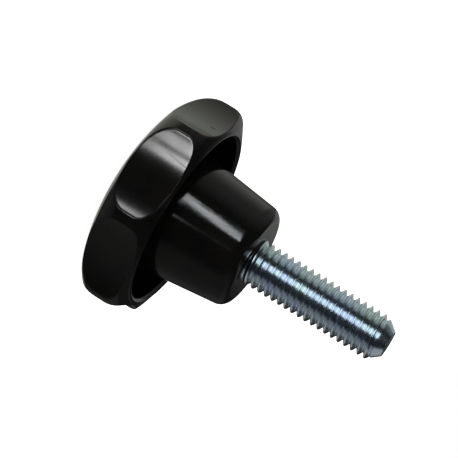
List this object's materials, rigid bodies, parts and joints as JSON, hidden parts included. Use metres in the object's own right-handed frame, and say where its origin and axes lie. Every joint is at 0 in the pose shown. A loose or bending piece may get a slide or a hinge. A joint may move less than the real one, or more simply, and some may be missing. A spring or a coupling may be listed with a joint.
{
  "type": "star knob screw",
  "caption": "Lobed black moulded knob on a tapered hub with a moulded-in threaded steel stud, turned by hand to clamp or adjust.",
  "frame": {"origin": "centre of the hub's end face, where the stud leaves the knob and the knob seats on the work", "axes": "+Z along the stud towards its point, away from the head; +X through the middle of a flute"},
  "size_m": [0.0374, 0.0384, 0.0499],
  "materials": {
    "black_moulding": "polished black thermoset moulding",
    "zinc_steel": "bright zinc plate, slightly blue"
  },
  "bodies": {
    "root": {"knob_body": "black_moulding", "threaded_stud": "zinc_steel"}
  },
  "joints": []
}
